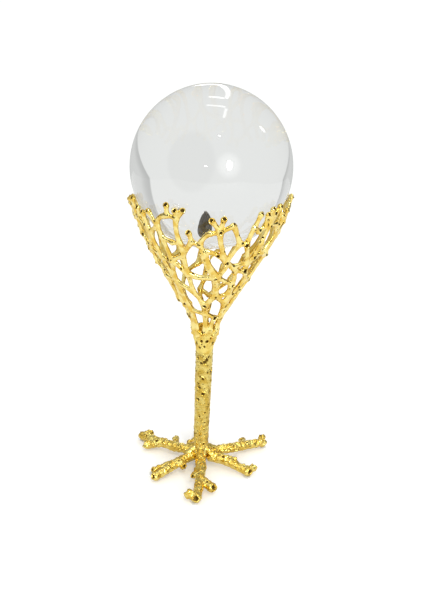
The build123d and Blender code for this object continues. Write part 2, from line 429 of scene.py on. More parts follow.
polished_gold = gold_finish(
    "polished_gold", 0.22, Grain_Scale=420.0, Pit_Scale=420.0, Pit_Amount=0.08, Smooth=0.07,
    Light_Gold=(0.95, 0.79, 0.30, 1), Deep_Gold=(0.80, 0.54, 0.10, 1), Shade=(0.36, 0.22, 0.04, 1),
)
cast_gold = gold_finish(
    "cast_gold", 0.42, Grain_Scale=650.0, Pit_Scale=560.0, Pit_Amount=0.10, Smooth=0.14,
    Light_Gold=(0.88, 0.70, 0.20, 1), Deep_Gold=(0.72, 0.48, 0.08, 1), Shade=(0.36, 0.23, 0.04, 1),
    Bottom=(0.10, 0.06, 0.012, 1),
)
bark_gold = gold_finish(
    "bark_gold", 0.5, Grain_Scale=900.0, Pit_Scale=760.0, Pit_Amount=0.12, Smooth=0.22,
    Light_Gold=(0.78, 0.62, 0.18, 1), Deep_Gold=(0.62, 0.42, 0.07, 1), Shade=(0.38, 0.26, 0.05, 1),
    Bottom=(0.14, 0.09, 0.018, 1),
)
print("gold finishes:", polished_gold.name, cast_gold.name, bark_gold.name)

# %% [markdown]
# ## Glass, silicone and steel
#
# Crystal bends light like good optical glass, so its index of refraction is 1.52. A display ball is
# polished until nothing blurs it, so its roughness is plainly 0, and only its tint drifts very faintly,
# as in any melt of glass. The pads are cloudy silicone, and the rod, washer and nut are zinc-plated
# steel. Those two are never evenly smooth, so a noise drives their roughness and a fine relief.

# %% Crystal, silicone and steel
def uneven_finish(name, scale, low, high, relief):
    """A material whose roughness drifts between two values, with a fine relief in mm."""
    material = bpy.data.materials.new(name)
    nodes, links, shader = node_tree(material)
    where = nodes.new("ShaderNodeTexCoord")
    drift = nodes.new("ShaderNodeTexNoise")
    drift.inputs["Scale"].default_value = scale
    drift.inputs["Detail"].default_value = 4.0
    links.new(where.outputs["Object"], drift.inputs["Vector"])
    links.new(add_step(nodes, links, drift.outputs["Fac"], 0.4, 0.7, low, high), shader.inputs["Roughness"])
    bump = nodes.new("ShaderNodeBump")
    bump.inputs["Distance"].default_value = relief * MM
    links.new(drift.outputs["Fac"], bump.inputs["Height"])
    links.new(bump.outputs["Normal"], shader.inputs["Normal"])
    return material, shader


crystal = bpy.data.materials.new("crystal")
nodes, links, shader = node_tree(crystal)
where = nodes.new("ShaderNodeTexCoord")
clouds = nodes.new("ShaderNodeTexNoise")
clouds.inputs["Scale"].default_value = 25.0
links.new(where.outputs["Object"], clouds.inputs["Vector"])
share = add_step(nodes, links, clouds.outputs["Fac"], 0.4, 0.7)
tint = add_blend(nodes, links, share, (0.985, 0.99, 0.985, 1), (0.975, 0.985, 0.98, 1))
links.new(tint, shader.inputs["Base Color"])
shader.inputs["Roughness"].default_value = 0.0
shader.inputs["IOR"].default_value = 1.52
shader.inputs["Transmission Weight"].default_value = 1.0

silicone, shader = uneven_finish("clear_silicone", 900.0, 0.2, 0.4, 0.05)
shader.inputs["Base Color"].default_value = (0.93, 0.92, 0.88, 1)
shader.inputs["IOR"].default_value = 1.41
shader.inputs["Transmission Weight"].default_value = 0.3

steel, shader = uneven_finish("zinc_steel", 1500.0, 0.25, 0.45, 0.05)
shader.inputs["Base Color"].default_value = (0.6, 0.61, 0.62, 1)
shader.inputs["Metallic"].default_value = 1.0
print("other finishes:", crystal.name, silicone.name, steel.name)

# %% [markdown]
# ## The basket wall
#
# The basket is a lattice that widens like a tulip. Every place on it is given as a turn round the stem,
# in degrees, and a height. One short table says how far the wall stands from the stem at each height,
# and everything else follows from it, so a branch always lies on the wall.

# %% Places on the wall
# height, and how far the wall stands from the stem's middle line there, both in mm
WALL = [
    (85, 5.3), (90, 5.9), (95, 7.0), (105, 8.9), (115, 13.1), (125, 19.6), (135, 25.0),
    (145, 31.1), (155, 36.7), (165, 42.0), (175, 46.0), (186, 49.8), (195, 52.0),
]


def wall_radius(height):
    """How far the wall stands from the stem's middle line at a height."""
    for (low, near), (high, far) in zip(WALL, WALL[1:]):
        if height <= high:
            return near + (far - near) * (height - low) / (high - low)
    return WALL[-1][1]


def on_wall(turn, height, lift=0.0):
    """A point of the wall in metres, lifted off it by some millimetres."""
    reach = wall_radius(height) + lift
    angle = math.radians(turn)
    return Vector((reach * math.sin(angle), -reach * math.cos(angle), height)) * MM


def outwards(turn, lean=-0.5):
    """The direction out of the wall, which leans down as the wall widens upwards."""
    angle = math.radians(turn)
    return Vector((math.sin(angle), -math.cos(angle), lean)).normalized()


print("the wall opens from", WALL[0][1], "to", WALL[-1][1], "mm")

# %% [markdown]
# ## The lattice as places and branches
#
# A third of the basket is one casting. Its branching points have names, and each branch joins two of
# them. The names only help to find a place again: most say what stands there, such as an arch or a
# knot, and the seams are where a third meets its neighbours.

# %% Places
# turn from the third's middle in degrees, and height in mm
POINTS = {
    "seam_a_left": (-60, 177),
    "seam_b_left": (-60, 158),
    "seam_c_left": (-60, 139),
    "seam_d_left": (-60, 118),
    "seam_e_left": (-60, 101),
    "seam_a_right": (60, 177),
    "seam_b_right": (60, 158),
    "seam_c_right": (60, 139),
    "seam_d_right": (60, 118),
    "seam_e_right": (60, 101),
    "arch": (-27, 183),
    "shoulder": (-20, 182),
    "loop_top": (-38, 175),
    "loop_low": (-36, 168),
    "loop_mid": (-27, 166),
    "loop_end": (-20, 166),
    "edge_high": (-50, 169),
    "edge_mid": (-48, 154),
    "edge_low": (-43, 137),
    "horn": (-10, 168),
    "saddle": (-4, 166),
    "bend": (4, 174),
    "middle": (11, 175),
    "corner": (20, 179),
    "corner_low": (28, 167),
    "branch": (34, 167),
    "limb": (37, 177),
    "rung_left": (42, 174),
    "rung_mid": (47, 177),
    "rung_right": (52, 177),
    "ring": (50, 166),
    "pit": (-20, 158),
    "cross": (20, 155),
    "joint": (28, 151),
    "rib": (43.5, 153),
    "trunk_high": (-1, 162),
    "trunk_low": (12, 144),
    "fork": (-19, 145),
    "knot": (-34, 153),
    "eye": (46, 147),
    "cup": (49, 156),
    "arm": (38, 137),
    "stalk": (17, 129),
    "thorn": (-18.5, 132),
    "neck": (0, 121),
    "elbow": (44, 121),
    "knee": (-40, 116),
    "sill": (1, 114.5),
    "ledge": (31, 111),
    "post": (56, 110.5),
    "base_mid": (2, 100),
    "base_low": (24, 101),
    "base_left": (-34, 97),
    "base_right": (40, 97),
}


def pairs(text):
    """Reads "a b, c d" as a list of pairs."""
    return [pair.split() for pair in text.replace("\n", " ").split(",") if pair.strip()]


print(len(POINTS), "places in a third")

# %% [markdown]
# Grown branches are seldom straight, so BOWS says how far the middle of a branch swings aside. The
# main limbs are stouter, and where many branches meet there is a knob. TIPS lists the prongs that stick
# up from the crown, each from the place where it grows.

# %% Branches, bows, knobs and tips
BRANCHES = """
seam_a_left edge_high, seam_b_left edge_high, seam_b_left edge_mid, seam_c_left edge_low,
seam_d_left edge_low, seam_d_left knee, seam_e_left knee, seam_a_right rung_right,
seam_b_right ring, seam_b_right cup, seam_c_right eye, seam_c_right elbow, seam_d_right elbow,
seam_e_right post, seam_e_right base_right, edge_high loop_top, edge_high edge_mid, edge_mid knot,
edge_mid edge_low, edge_low thorn, edge_low knee, arch shoulder, arch loop_top,
loop_top loop_low, loop_low loop_mid, loop_low knot, loop_mid loop_end, shoulder loop_end,
loop_end pit, pit knot, pit horn, pit fork, knot fork, knot edge_low, horn saddle,
saddle bend, saddle trunk_high, bend middle, middle corner, middle cross, corner corner_low,
corner_low cross, corner_low branch, branch limb, limb rung_left, branch rib, rib eye,
rung_left rung_mid, rung_mid rung_right, rung_right ring, ring cup, cup eye,
trunk_high trunk_low, trunk_high cross, cross trunk_low, cross joint,
joint rib, joint eye, joint arm, fork trunk_low, fork thorn, trunk_low stalk,
trunk_low arm, arm elbow, arm stalk, stalk neck, stalk elbow, thorn neck, neck sill, knee sill,
sill ledge, ledge post, elbow post, sill base_mid, ledge base_low, knee base_left, base_mid base_left
"""
# how far the middle of a branch swings aside, in degrees of turn and mm of height
BOWS = {
    "trunk_high trunk_low": (-2.9, 0.5),
    "trunk_high cross": (-0.9, 2.3),
    "fork trunk_low": (-1.0, -1.5),
    "cross trunk_low": (4.2, -0.6),
    "joint arm": (2.9, 0.2),
    "joint eye": (0.7, -1.7),
    "arm stalk": (7.0, -3.0),
    "arch loop_top": (-2.4, 1.0),
    "shoulder loop_end": (-1.5, 0.0),
    "middle cross": (-2.2, 0.0),
    "saddle bend": (-1.0, 1.0),
}
# the usual radius of a branch, of the ball at a joint and of a tip in mm, and the unusual ones
BRANCH, KNOB, TIP = 1.5, 2.0, 1.95
STOUT = {
    "trunk_high trunk_low": 2.2,
    "trunk_low stalk": 1.9,
    "fork trunk_low": 1.8,
    "stalk neck": 1.8,
    "arm elbow": 1.8,
    "knot fork": 1.8,
    "edge_low knee": 1.7,
    "saddle trunk_high": 1.7,
}
KNOBS = {
    "saddle": 2.3,
    "trunk_high": 2.4,
    "trunk_low": 2.6,
    "stalk": 2.5,
    "elbow": 2.4,
    "eye": 2.5,
    "knot": 2.5,
}
# the ends that grow from a place: turn and height
TIPS = {
    "arch": [(-26.5, 189)],
    "shoulder": [(-20.5, 186), (-15, 187)],
    "loop_top": [(-44, 183)],
    "edge_high": [(-52, 181)],
    "horn": [(-12, 173.5)],
    "middle": [(4.5, 182), (12.5, 183)],
    "limb": [(39.5, 185)],
    "rung_mid": [(46.5, 184)],
    "rung_right": [(50, 187), (53, 184), (57.5, 188)],
    "corner": [(25, 184)],
    "seam_a_left": [(-58, 183)],
}
print(len(pairs(BRANCHES)), "branches and", sum(map(len, TIPS.values())), "tips in a third")

# %% [markdown]
# The two castings behind were bent and filed a little differently. PANELS lists what differs, so that
# one table of places serves all three: places that are moved or new, branches that are missing or
# added, other bows, other tips, and spots where shade is painted on a prong's inner side.

# %% Cups, and what differs between the thirds
# turn, height and radius of the cups pressed into the wall
CUPS = [
    (-38, 153.8, 1.5), (-53.5, 146, 1.0), (-22, 159.8, 1.2), (-25, 148.2, 0.9), (-51.7, 162, 0.9),
    (-54.5, 173.2, 0.9), (-45.6, 175, 0.8), (-42, 171.2, 0.9), (-57, 168, 0.7), (20.2, 180.2, 0.8),
    (11, 175, 1.1), (11.4, 159.2, 1.2), (20.3, 154.2, 1.3), (11.8, 143.1, 1.2), (34, 165.9, 1.6),
    (52.5, 165, 1.0), (56, 161, 0.7), (57, 167, 0.7), (50, 156.4, 1.5), (45.7, 147.3, 1.6),
    (-5.5, 147.5, 0.7), (-45, 137, 1.1), (-33, 141, 0.7), (55, 134, 0.9), (50, 129, 0.8),
    (46, 121, 1.5), (31, 111, 1.2), (-0.6, 121.4, 1.3), (-52, 119, 1.0), (-43, 114, 0.8),
    (-9, 100, 1.0), (34, 98, 0.9), (56, 110, 0.9), (38, 137, 1.0), (17, 129, 0.8), (52, 177, 0.9),
]
# a tip may name its own radius third, and a spot of painted shade is a turn, a height and a radius
PANELS = [
    {"moved": {}, "missing": "", "added": "", "bows": {}, "tips": {"corner": []}, "shade_spots": []},
    {
        "moved": {
            "seam_c_right": (64.4, 139),
            "seam_d_right": (56.5, 118),
            "trunk_low": (10, 144),
            "base_mid": (-3, 100),
        },
        "missing": """cross trunk_low, trunk_low arm, arm stalk, joint eye, joint rib,
            ledge post, sill ledge, ledge base_low""",
        "added": "",
        "bows": {"joint arm": (0, 0)},
        "tips": {"rung_right": [(53, 182)], "seam_a_left": [(-57, 184)]},
        "shade_spots": [],
    },
    {
        "moved": {
            "seam_c_left": (-55.6, 139),
            "seam_d_left": (-63.5, 118),
            "neck": (6, 121),
            "y_top": (-53, 128),
            "y_mid": (-42, 121.2),
        },
        "missing": """edge_low knee, seam_d_left edge_low, knot edge_low, knee sill,
            knee base_left, seam_d_left knee""",
        "added": "seam_c_left y_top, y_top y_mid, y_mid knee, y_mid seam_d_left",
        "bows": {"edge_mid edge_low": (-2.5, 0)},
        "tips": {"edge_high": [(-56.4, 187.2, 1.3)], "seam_a_left": []},
        "shade_spots": [(-56, 187.6, 4.2), (-55.5, 184.5, 4.2), (-54.5, 181.5, 4.2), (-53.5, 178.5, 4.0)],
    },
]
print(len(PANELS), "thirds, with", len(CUPS), "cups in each")

# %% [markdown]
# ## Waxing one third of the basket
#
# A branch is laid as short cones that follow the wall, thick where it joins the others and slim in its
# middle. After melting, that taper becomes the rounded windows that coral has. Small cups are pressed
# into the joints and the tips afterwards.

# %% Wax branches on the wall
BRANCH_STEPS = 5
# shares of a branch's radius: its slim middle, and how much its ends are thicker
WAIST, FLARE = 0.92, 0.42
# how far a cup sits off the middle of the wall, and the radius of a tip's cup, in mm
CUP_LIFT, TIP_CUP = 1.1, 1.2


def wall_branch(bm, start, end, thick, bow=(0.0, 0.0)):
    """A branch along the wall between two places, with its middle swung aside by bow."""
    places, radii = [], []
    for i in range(BRANCH_STEPS + 1):
        share = i / BRANCH_STEPS
        swing = 4 * share * (1 - share)
        places.append(tuple(start[k] + (end[k] - start[k]) * share + bow[k] * swing for k in (0, 1)))
        radii.append(thick * (WAIST + FLARE * abs(2 * share - 1) ** 2.2))
    for (a, b), (thick_a, thick_b) in zip(zip(places, places[1:]), zip(radii, radii[1:])):
        out = outwards((a[0] + b[0]) / 2)
        add_wire(bm, on_wall(*a), on_wall(*b), thick_a * MM, thick_b * MM, out, flat=(1.15, 0.85))
    for place, radius in zip(places[1:-1], radii[1:-1]):
        add_ball(bm, on_wall(*place), radius * 0.97 * MM)


def tip_cups(points, tips):
    """The cup at the end of each tip, which opens along it and a little outwards."""
    cups = []
    for root, ends in tips.items():
        for turn, height, *_ in ends:
            along = (on_wall(turn, height) - on_wall(*points[root])).normalized()
            axis = (along * 0.75 + outwards(turn, 0.1)).normalized()
            cups.append((on_wall(turn, height) + axis * TIP_CUP * MM, axis, TIP_CUP * MM))
    return cups


def wax_panel(change):
    """The wax of one third, and the cups to press into it."""
    points = {**POINTS, **change["moved"]}
    tips = {**TIPS, **change["tips"]}
    missing = pairs(change["missing"])
    bm = bmesh.new()
    kept = [pair for pair in pairs(BRANCHES) + pairs(change["added"]) if pair not in missing]
    bows = {**BOWS, **change["bows"]}
    for a, b in kept:
        key = f"{a} {b}"
        wall_branch(bm, points[a], points[b], STOUT.get(key, BRANCH), bows.get(key, (0, 0)))
    for name in sorted({name for pair in kept for name in pair}):
        add_ball(bm, on_wall(*points[name]), KNOBS.get(name, KNOB) * MM)
    for root, ends in tips.items():
        for end in ends:
            thick = end[2] if len(end) > 2 else TIP
            wall_branch(bm, points[root], end[:2], thick * 0.75)
            add_ball(bm, on_wall(*end[:2]), thick * MM)
    cups = tip_cups(points, tips)
    for turn, height, radius in CUPS:
        cups.append((on_wall(turn, height, CUP_LIFT), outwards(turn), radius * MM))
    return bm, cups


print("a branch is laid in", BRANCH_STEPS, "steps")

# %% [markdown]
# The three thirds meet along upright seams, where they are brazed. Each is cut off exactly at its seams,
# so that neighbours touch and never overlap, and the cut is filled to keep the skin closed.

# %% Trim a third at its seams
THIRD = 120


def trim_at_seams(mesh):
    """Keeps what lies within half a third of the front, and closes the cuts."""
    bm = bmesh.new()
    bm.from_mesh(mesh)
    for side in (-1, 1):
        turn = math.radians(THIRD / 2 * side)
        across = Vector((math.cos(turn), math.sin(turn), 0)) * side
        cut = bmesh.ops.bisect_plane(
            bm,
            geom=bm.verts[:] + bm.edges[:] + bm.faces[:],
            plane_co=(0, 0, 0),
            plane_no=across,
            clear_outer=True,
            dist=1e-7,
        )
        edges = [item for item in cut["geom_cut"] if isinstance(item, bmesh.types.BMEdge)]
        bmesh.ops.holes_fill(bm, edges=edges, sides=0)
    bm.to_mesh(mesh)
    bm.free()


for number, change in enumerate(PANELS):
    wax, cups = wax_panel(change)
    name = f"basket_panel_{number + 1}"
    skin = melt(name, wax, voxel=0.36, smooth=4, lumps=0.2)
    press_cups(skin, cups)
    # painted shade on the inner side of a few prongs, where they stand in the dark next to the ball
    darken(skin, [(on_wall(turn, height, -1.5), radius * MM) for turn, height, radius in change["shade_spots"]])
    trim_at_seams(skin)
    turned = turned_copy(skin, name, THIRD * number)
    finished(f"lattice_{number + 1}", turned, polished_gold, "stand", name)

# %% [markdown]
# ## The root
#
# Below the lattice the branches run together into a fluted root. It is waxed as a flared core with one
# ridge under each branch, so the eye can follow a branch down into the stem.

# %% Root
# radius and height of the core, the turn of each ridge, and turn, height and radius of each cup
ROOT_PROFILE = [(5.8, 84.0), (6.1, 89), (7.0, 93), (7.7, 96), (8.0, 98)]
RIDGES = (-60, -34, 2, 24, 42, 60, 86, 122, 144, 160, 180, 206, 240, 264, 282)
ROOT_CUPS = (
    (-47, 91, 1.0), (-15, 93, 1.0), (15, 93, 1.0), (54, 91, 1.3), (34, 96, 1.1), (-30, 88, 0.8),
    (2, 89, 0.8), (95, 92, 1.1), (140, 90, 1.2), (175, 93, 1.0), (215, 93, 1.2), (250, 89, 0.9),
    (300, 90, 1.2),
)


def add_core(bm, profile, sides):
    """Upright cones one on another, from a list of radii and heights in mm."""
    for (r0, z0), (r1, z1) in zip(profile, profile[1:]):
        low, high = Vector((0, 0, z0)) * MM, Vector((0, 0, z1)) * MM
        add_wire(bm, low, high, r0 * MM, r1 * MM, Vector((0, 1, 0)), sides=sides)


def wax_root():
    """The flared core with a ridge under each branch."""
    bm = bmesh.new()
    add_core(bm, ROOT_PROFILE, sides=48)
    for turn in RIDGES:
        add_wire(bm, on_wall(turn, 101), on_wall(turn + 3, 86, -0.9), 1.7 * MM, 1.0 * MM, outwards(turn))
    return bm


root_skin = melt("basket_root", wax_root(), voxel=0.28, smooth=4, lumps=0.25, lump_size=3.0)
press_cups(root_skin, [(on_wall(t, h, 0.4), outwards(t, 0.1), r * MM) for t, h, r in ROOT_CUPS])
finished("coral_root", root_skin, cast_gold, "stand", "basket_root")

# %% [markdown]
# ## The stem
#
# The stem is a cast tube with a skin like bark: slow bulges, long shallow flutes and scattered cups,
# which crowd together towards its top. The cups' places are drawn from a seeded dice, so every run
# gives the same stem.

# %% Stem
# heights of the stem's ends, and its radius at each
STEM_LOW, STEM_HIGH, STEM_SKIN, STEM_TOP_SKIN = 13.5, 85.0, 5.0, 5.7
FLUTES, STEM_CUPS = 9, 110


def wax_stem():
    """A tapered bar with slim wires along it, which melt into flutes."""
    bm = bmesh.new()
    add_core(bm, [(STEM_SKIN, STEM_LOW), (STEM_TOP_SKIN, STEM_HIGH)], sides=64)
    bottom, top = Vector((0, 0, STEM_LOW)) * MM, Vector((0, 0, STEM_HIGH)) * MM
    for flute in range(FLUTES):
        angle = math.tau * flute / FLUTES + dice.uniform(-0.2, 0.2)
        reach = Vector((math.cos(angle), math.sin(angle), 0)) * 4.0 * MM
        add_wire(bm, bottom + reach, top + reach * 1.12, 1.15 * MM, 1.3 * MM, Vector((0, 1, 0)))
    return bm


def stem_cups():
    """Cups at random, which crowd together towards the top."""
    cups = []
    for _ in range(STEM_CUPS):
        height = STEM_HIGH - 3 - (STEM_HIGH - STEM_LOW - 5) * dice.random() ** 2.2
        angle = dice.uniform(0, math.tau)
        out = Vector((math.cos(angle), math.sin(angle), dice.uniform(-0.2, 0.4)))
        reach = STEM_SKIN + (STEM_TOP_SKIN - STEM_SKIN) * (height - STEM_LOW) / (STEM_HIGH - STEM_LOW)
        place = Vector((reach * math.cos(angle), reach * math.sin(angle), height)) * MM
        cups.append((place, out, dice.uniform(0.4, 1.2) * MM))
    return cups


stem_skin = melt("stem", wax_stem(), voxel=0.26, smooth=4, lumps=0.26, lump_size=1.9)
press_cups(stem_skin, stem_cups())
finished("coral_stem", stem_skin, bark_gold, "stand", "stem")

# %% [markdown]
# ## The feet
#
# Six coral twigs are plugged into a hub under the stem: three long ones with three toes each, and three
# short ones with two toes between them. A foot is a handful of named places with a thickness, and the
# runs between them. Toes end in a cup, and buds and knobs break the outline. It is waxed along +X and
# turned to its place afterwards, and underneath it is pressed flat where its pads are stuck on.

# %% Places of the feet
# x, y, height and radius of each place in mm, and the runs between places
FOOT_HEIGHT = 7.0
LONG_FOOT = {
    "start": (6.6, 0.4, FOOT_HEIGHT, 4.2),
    "bridge": (21, 0, 6.6, 3.7),
    "split": (32, 2, 7.2, 3.1),
    "toe": (50.6, 0, 3.3, 3.2),
    "left_toe": (38.5, 10.8, 4.5, 2.9),
    "right_toe": (44.4, -7.8, 4.3, 2.7),
    "bud": (25, -6, 7.5, 2.2),
}
LONG_FOOT_RUNS = "start bridge, bridge split, split toe, split left_toe, bridge bud"
SHORT_FOOT = {
    "start": (6.6, 0.4, FOOT_HEIGHT, 4.2),
    "bridge": (20, 1, 6.6, 3.7),
    "toe": (36.6, 2, 3.3, 3.2),
    "left_toe": (35.4, 10.6, 4.3, 2.8),
    "bud": (17, 7, 7.4, 2.4),
}
SHORT_FOOT_RUNS = "start bridge, bridge toe, bridge bud"
# no two twigs are quite alike: kind, number, turn, the places that are moved, and one more run
FEET = [
    ("long", 1, -90, {
        "bridge": (20, 1.8, 6.4, 4.0), "split": (32, 2, 5.8, 3.6), "toe": (50.4, 1.0, 3.8, 3.5),
        "right_toe": (48.4, -3.8, 4.8, 3.4), "left_toe": (39.0, 9.8, 4.8, 3.5), "bud": (28.5, -2.8, 6.0, 2.0),
    }, "toe right_toe"),
    ("long", 2, 30, {
        "bridge": (21, -1.2, 6.4, 3.8), "split": (33, -0.6, 5.8, 3.7), "toe": (50.0, 0, 4.4, 3.6),
        "right_toe": (51.6, 3.2, 6.6, 2.6), "left_toe": (38.0, 7.4, 4.6, 2.6),
    }, "toe right_toe"),
    ("long", 3, 150, {
        "bridge": (20, 2.6, 6.4, 3.8), "split": (32, 2.8, 5.8, 3.6), "toe": (50.4, 0.6, 4.0, 3.4),
        "right_toe": (47.4, -4.8, 4.6, 2.7), "left_toe": (39.5, 9.6, 4.2, 3.2),
    }, "toe right_toe"),
    ("short", 1, -30, {
        "bridge": (19, 3.4, 6.4, 4.0), "toe": (36.0, 3.2, 3.6, 3.1), "left_toe": (38.0, 7.6, 5.2, 2.9),
        "bud": (24, 6.4, 6.6, 2.5),
    }, "toe left_toe"),
    ("short", 2, 90, {
        "left_toe": (29.5, 3.2, 4.6, 2.8), "bud": (14.6, 8.8, 6.4, 2.4),
    }, "bridge left_toe"),
    ("short", 3, 210, {
        "bridge": (19, 4.4, 6.4, 3.8), "toe": (35.4, 2.6, 3.4, 2.5), "left_toe": (38.2, 10.8, 3.8, 3.2),
        "bud": (17.5, 9.0, 5.8, 2.6),
    }, "bridge left_toe"),
]
print(len(FEET), "feet, with", len(LONG_FOOT), "places on a long one and", len(SHORT_FOOT), "on a short one")

# %% Wax feet
KNOBS_ON_RUN = 3
# how far a cup on a run sits above its middle line, and how thick the pads are, in mm
CUP_ABOVE, PAD_THICKNESS = 2.7, 1.0
# shares of a toe's radius: how far out its cup sits, and the cup's radius
TOE_CUP_AT, TOE_CUP = 0.9, 0.52


def wax_foot(points, runs):
    """The wax of one foot along +X, and its cups."""
    bm = bmesh.new()
    up = Vector((0, 0, 1))
    cups = []
    for name, (x, y, z, radius) in points.items():
        if name != "start":
            add_ball(bm, Vector((x, y, z)) * MM, radius * 0.97 * MM)
    for a, b in pairs(runs):
        first, last = points[a], points[b]
        start, end = Vector(first[:3]) * MM, Vector(last[:3]) * MM
        add_wire(bm, start, end, first[3] * 0.88 * MM, last[3] * 0.86 * MM, up)
        side = (end - start).cross(up).normalized()
        for _ in range(KNOBS_ON_RUN):
            knob = start.lerp(end, dice.uniform(0.25, 0.9))
            knob = knob + side * dice.uniform(-1.8, 1.8) * MM + up * dice.uniform(0.4, 1.5) * MM
            add_ball(bm, knob, dice.uniform(1.6, 2.2) * MM)
        share = dice.uniform(0.15, 0.95)
        axis = (up + side * dice.uniform(-0.9, 0.9)).normalized()
        place = start.lerp(end, share) + axis * CUP_ABOVE * MM
        cups.append((place, axis, dice.uniform(0.6, 1.1) * MM))
        if b not in ("bridge", "split"):
            axis = ((end - start).normalized() + up * 0.45).normalized()
            place = end + axis * last[3] * TOE_CUP_AT * MM
            cups.append((place, axis, last[3] * TOE_CUP * MM))
    return bm, cups


def rest_on(mesh, height):
    """Presses a mesh flat underneath, where the pad is stuck on."""
    for v in mesh.vertices:
        v.co.z = max(v.co.z, height)


for kind, number, turn, moved, last_run in FEET:
    points, runs = (LONG_FOOT, LONG_FOOT_RUNS) if kind == "long" else (SHORT_FOOT, SHORT_FOOT_RUNS)
    name = f"foot_{kind}_{number}"
    wax, cups = wax_foot({**points, **moved}, f"{runs}, {last_run}")
    foot_skin = melt(name, wax, voxel=0.3, smooth=4, lumps=0.5, lump_size=2.4)
    press_cups(foot_skin, cups)
    rest_on(foot_skin, PAD_THICKNESS * MM)
    finished("coral_" + name, turned_copy(foot_skin, name, turn), cast_gold, "stand", name)

# %% [markdown]
# ## The hub
#
# On the real stand the twigs seem to grow out of the stem. The hub with their sockets is hidden under a
# knobby skin, so it is waxed too: a low cone with a root towards each foot. It is solid round the rod,
# and the washer and the nut sit below it. It has no cups of its own, but press_cups still gives it the
# empty "painted_shade" marks that its finish reads, so no shade is painted on it.

# %% Hub
HUB_PROFILE = [(7.0, 6.1), (5.4, 13), (5.0, 15.5)]
# the inner and outer end of a root towards a foot: distance from the middle, height and radius
ROOT_IN, ROOT_OUT = (4.0, 12.5, 1.9), (10.5, 8.4, 2.6)


def wax_hub():
    """A low cone with six roots."""
    bm = bmesh.new()
    add_core(bm, HUB_PROFILE, sides=48)
    for number in range(6):
        angle = math.radians(30 + 60 * number)
        along = Vector((math.cos(angle), math.sin(angle), 0))
        start = along * ROOT_IN[0] * MM + Vector((0, 0, ROOT_IN[1])) * MM
        end = along * ROOT_OUT[0] * MM + Vector((0, 0, ROOT_OUT[1])) * MM
        add_wire(bm, start, end, ROOT_IN[2] * MM, ROOT_OUT[2] * MM, Vector((0, 0, 1)))
    return bm


hub_skin = melt("hub", wax_hub(), voxel=0.3, smooth=5, lumps=0.3, lump_size=2.4)
press_cups(hub_skin, [])
finished("coral_hub", hub_skin, cast_gold, "stand", "hub")

# %% [markdown]
# ## The ball
#
# The ball is solid crystal glass, and its shape is its whole beauty, so the sphere is made fine enough
# that its edge never shows a corner. Its size and place are read from the CAD node that it stands for.
# It rides on its own body, because it can be lifted out of the basket.

# %% Ball
ball_low, ball_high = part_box("crystal_ball")
ball_centre = (ball_low + ball_high) / 2
ball_radius = (ball_high.z - ball_low.z) / 2
bm = bmesh.new()
place = Matrix.Translation(ball_centre)
bmesh.ops.create_uvsphere(bm, u_segments=192, v_segments=96, radius=ball_radius, matrix=place)
ball_mesh = bpy.data.meshes.new("ball")
bm.to_mesh(ball_mesh)
bm.free()
finished("clear_ball", ball_mesh, crystal, "ball", "crystal_ball")
print("ball", round(ball_radius * 2000), "mm across")

# %% [markdown]
# ## Finishes for the CAD parts that stay
#
# The pads, the tie rod, the washer and the nut are moulded or machined, so their CAD shapes are already
# right. They only get the finish that each would have. The nodes that a dressed piece stands for are
# hidden, and simply get cast gold.

# %% Finish the CAD parts
for name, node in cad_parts.items():
    if "pad" in name:
        finish = silicone
    elif name in ("tie_rod", "washer", "nut"):
        finish = steel
    else:
        finish = cast_gold
    node.data.materials.clear()
    node.data.materials.append(finish)
print("finished", len(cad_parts), "CAD nodes")

# %% [markdown]
# ## The floor and the studio
#
# The floor is plain and pale. The camera should see it melt into the white background and keep only
# soft shadows, so it glows a little for camera rays alone. The gold mirrors the plain floor. The glass
# doesn't see it: its edge would cut the ball in two with a hard line.

# %% Floor
FLOOR_HALF, FLOOR_GLOW = 0.9, 0.18


def by_ray(nodes, links, ray, off, on):
    """A Mix node that gives one value to most rays and another to the rays of one kind."""
    rays = nodes.new("ShaderNodeLightPath")
    mix = nodes.new("ShaderNodeMix")
    for name, value in (("A", off), ("B", on)):
        if isinstance(value, (int, float)):
            mix.inputs[name].default_value = value
        else:
            links.new(value, mix.inputs[name])
    links.new(rays.outputs[ray], mix.inputs["Factor"])
    return mix.outputs["Result"]


bm = bmesh.new()
bmesh.ops.create_grid(bm, x_segments=1, y_segments=1, size=FLOOR_HALF)
floor_mesh = bpy.data.meshes.new("floor")
bm.to_mesh(floor_mesh)
bm.free()
floor = bpy.data.objects.new("floor", floor_mesh)
scene.collection.objects.link(floor)
sweep = bpy.data.materials.new("white_sweep")
nodes, links, shader = node_tree(sweep)
shader.inputs["Base Color"].default_value = (0.90, 0.90, 0.90, 1)
shader.inputs["Roughness"].default_value = 0.9
shader.inputs["Specular IOR Level"].default_value = 0.0
shader.inputs["Emission Color"].default_value = (1, 1, 1, 1)
links.new(by_ray(nodes, links, "Is Camera Ray", 0.0, FLOOR_GLOW), shader.inputs["Emission Strength"])
floor_mesh.materials.append(sweep)
floor.visible_transmission = False
print("floor", FLOOR_HALF * 2, "m wide")

# %% [markdown]
# ## The tent
#
# Polished metal and glass show the room more than their own colour. The room is painted into the
# world as a bright tent, and each kind of ray sees its own side of it, as if every surface had been
# given its own cards and cloths. The camera itself sees plain white. The first cell only unpacks the
# direction in which a ray looks: how far to the right, to the back and up.

# %% Tent
world = bpy.data.worlds.new("tent")
scene.world = world
world.use_nodes = True
nodes, links = world.node_tree.nodes, world.node_tree.links


def calc(kind, a, b=None):
    return add_math(nodes, links, kind, a, b)


def step(value, *numbers):
    return add_step(nodes, links, value, *numbers)


looking = nodes.new("ShaderNodeTexCoord")
parts = nodes.new("ShaderNodeSeparateXYZ")
links.new(looking.outputs["Generated"], parts.inputs["Vector"])
right, back, up = parts.outputs
print("tent:", [socket.name for socket in parts.outputs])

# %% [markdown]
# Light that has passed through glass sees a pale room with grey cloth at both sides, which the ball
# squeezes into two crescents, and a slightly darker patch straight behind.

